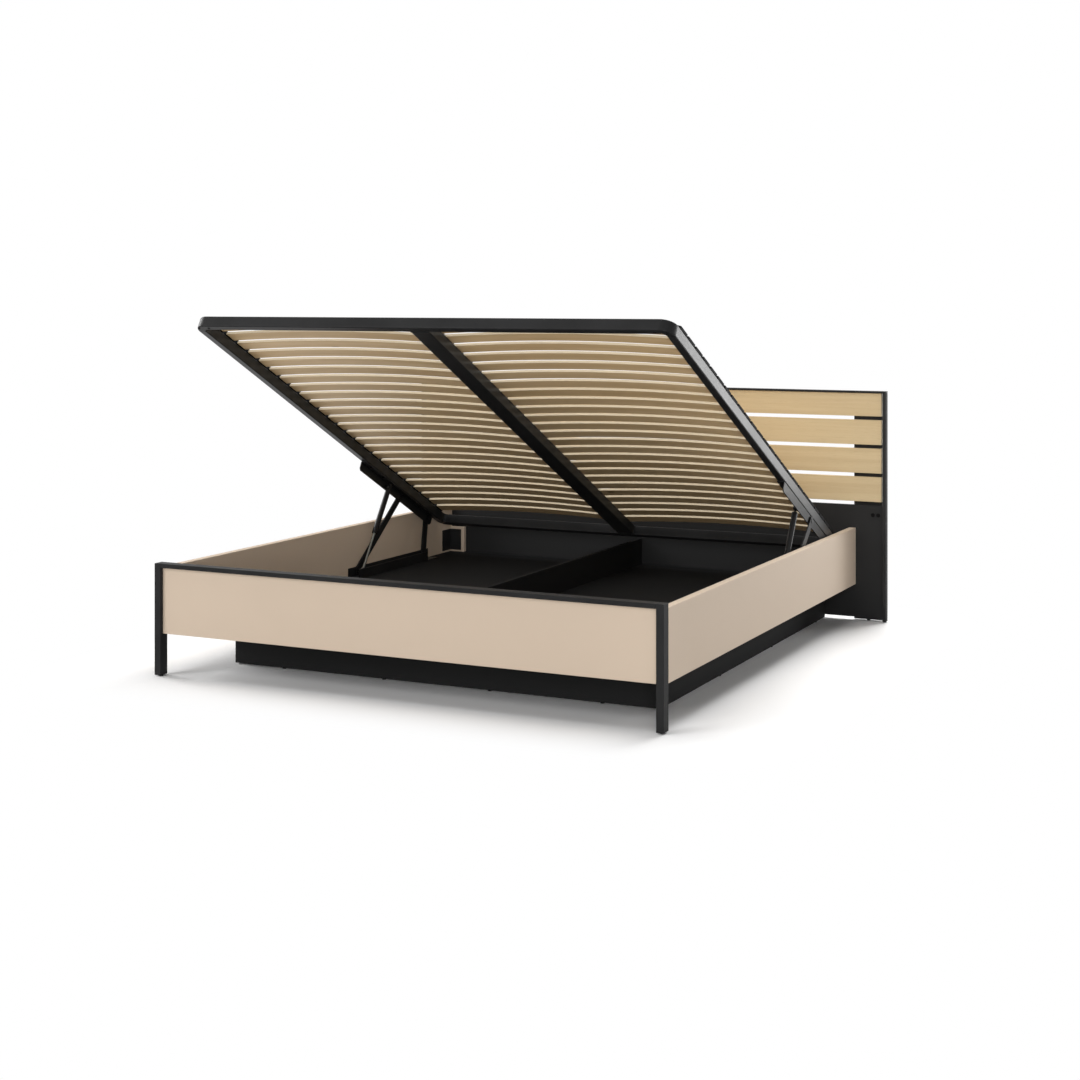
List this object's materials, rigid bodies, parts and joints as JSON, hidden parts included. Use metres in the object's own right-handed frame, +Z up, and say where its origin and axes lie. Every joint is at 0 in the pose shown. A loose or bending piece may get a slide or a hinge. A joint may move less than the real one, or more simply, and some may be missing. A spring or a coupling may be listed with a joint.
{
  "type": "lift-up storage bed frame",
  "caption": "Double bed frame with plank headboard, beige panels, black storage tray and a slatted base shown raised on side lift arms.",
  "frame": {"origin": "on the floor, under the middle of the box around the whole bed with its base raised", "axes": "+X across the bed, +Y towards the headboard, +Z up"},
  "size_m": [2.13, 2.112, 1.2341],
  "materials": {
    "black_steel": "black powder coat, satin, very fine texture",
    "beige_board": "matt sand-beige faced board",
    "black_board": "matt black faced board",
    "oak_plank": "light oak grain along the plank, matt",
    "black_plastic": "matt black moulded plastic",
    "slat_wood": "laminated light wood, sealed, layered edge",
    "bright_steel": "zinc-plated or bright drawn steel"
  },
  "bodies": {
    "bed": {"foot_leg_left": "black_steel", "foot_leg_right": "black_steel", "foot_top_rail": "black_steel", "foot_panel": "beige_board", "side_panel_left": "beige_board", "side_panel_right": "beige_board", "storage_floor_left": "black_board", "storage_floor_right": "black_board", "storage_divider": "black_board", "plinth_front": "black_board", "plinth_side_left": "black_board", "plinth_side_right": "black_board", "plinth_centre": "black_board", "headboard_post_left": "black_steel", "headboard_post_right": "black_steel", "headboard_top_rail": "black_steel", "headboard_upright_left": "black_board", "headboard_upright_right": "black_board", "headboard_lower_panel": "black_board", "headboard_plank_1": "oak_plank", "headboard_plank_2": "oak_plank", "headboard_plank_3": "oak_plank", "headboard_plank_4": "oak_plank", "headboard_cover_caps": "black_plastic", "corner_return_left": "beige_board", "corner_return_right": "beige_board", "corner_bracket_left": "black_steel", "corner_bracket_right": "black_steel", "foot_corner_brackets": "black_steel", "glides": "black_plastic", "base_channel_left": "black_steel", "base_channel_right": "black_steel", "base_pins_left": "bright_steel", "base_pins_right": "bright_steel", "rest_brackets": "black_steel", "rest_pads": "black_plastic"},
    "lift_base": {"lift_foot_tube": "black_steel", "lift_head_tube": "black_steel", "lift_rail_left": "black_steel", "lift_rail_right": "black_steel", "lift_centre_rail": "black_steel", "slats_left": "slat_wood", "slats_right": "slat_wood", "slat_holders_left": "black_plastic", "slat_holders_right": "black_plastic", "slat_holders_centre": "black_plastic", "upper_bracket_left": "black_steel", "upper_bracket_right": "black_steel", "bracket_bolts": "bright_steel", "frame_pins_left": "bright_steel", "frame_pins_right": "bright_steel"},
    "front_link_left_body": {"front_link_left": "black_steel"},
    "rear_link_left_body": {"rear_link_left": "black_steel"},
    "gas_cylinder_left_body": {"gas_cylinder_left": "black_steel"},
    "gas_rod_left_body": {"gas_rod_left": "bright_steel"},
    "front_link_right_body": {"front_link_right": "black_steel"},
    "rear_link_right_body": {"rear_link_right": "black_steel"},
    "gas_cylinder_right_body": {"gas_cylinder_right": "black_steel"},
    "gas_rod_right_body": {"gas_rod_right": "bright_steel"}
  },
  "joints": [
    {"name": "lift_hinge", "type": "hinge", "parent": "bed", "child": "front_link_left_body", "pos_m": [-0.9035, 0.206, 0.194], "axis": [1, 0, 0], "range_deg": [-27.8, 0]},
    {"name": "base_on_front_link", "type": "hinge", "parent": "front_link_left_body", "child": "lift_base", "pos_m": [-0.9035, 0.5391, 0.45267], "axis": [1, 0, 0], "range_deg": [0, 54.63]},
    {"name": "front_link_right_hinge", "type": "hinge", "parent": "bed", "child": "front_link_right_body", "pos_m": [0.9035, 0.206, 0.194], "axis": [1, 0, 0], "range_deg": [-27.83, 0]},
    {"name": "rear_link_left_hinge", "type": "hinge", "parent": "bed", "child": "rear_link_left_body", "pos_m": [-0.9035, 0.744, 0.19], "axis": [1, 0, 0], "range_deg": [-50.49, 0]},
    {"name": "gas_cylinder_left_hinge", "type": "hinge", "parent": "lift_base", "child": "gas_cylinder_left_body", "pos_m": [-0.88, 0.41829, 0.5137], "axis": [1, 0, 0], "range_deg": [-68.55, 0]},
    {"name": "gas_rod_left_slide", "type": "slide", "parent": "gas_cylinder_left_body", "child": "gas_rod_left_body", "axis": [0, 0.5532, 0.8331], "range_m": [0, 0.09439]},
    {"name": "rear_link_right_hinge", "type": "hinge", "parent": "bed", "child": "rear_link_right_body", "pos_m": [0.9035, 0.744, 0.19], "axis": [1, 0, 0], "range_deg": [-50.49, 0]},
    {"name": "gas_cylinder_right_hinge", "type": "hinge", "parent": "lift_base", "child": "gas_cylinder_right_body", "pos_m": [0.88, 0.41829, 0.5137], "axis": [1, 0, 0], "range_deg": [-68.55, 0]},
    {"name": "gas_rod_right_slide", "type": "slide", "parent": "gas_cylinder_right_body", "child": "gas_rod_right_body", "axis": [0, 0.5532, 0.8331], "range_m": [0, 0.09439]}
  ],
  "couplings": [
    {"joint": "base_on_front_link", "follows": "lift_hinge", "ratio": -1.9639},
    {"joint": "front_link_right_hinge", "follows": "lift_hinge", "ratio": 1},
    {"joint": "rear_link_left_hinge", "follows": "lift_hinge", "ratio": 1.8149},
    {"joint": "gas_cylinder_left_hinge", "follows": "lift_hinge", "ratio": 2.4643},
    {"joint": "gas_rod_left_slide", "follows": "lift_hinge", "m_per_rad": -0.19441},
    {"joint": "rear_link_right_hinge", "follows": "lift_hinge", "ratio": 1.8149},
    {"joint": "gas_cylinder_right_hinge", "follows": "lift_hinge", "ratio": 2.4643},
    {"joint": "gas_rod_right_slide", "follows": "lift_hinge", "m_per_rad": -0.19441}
  ]
}
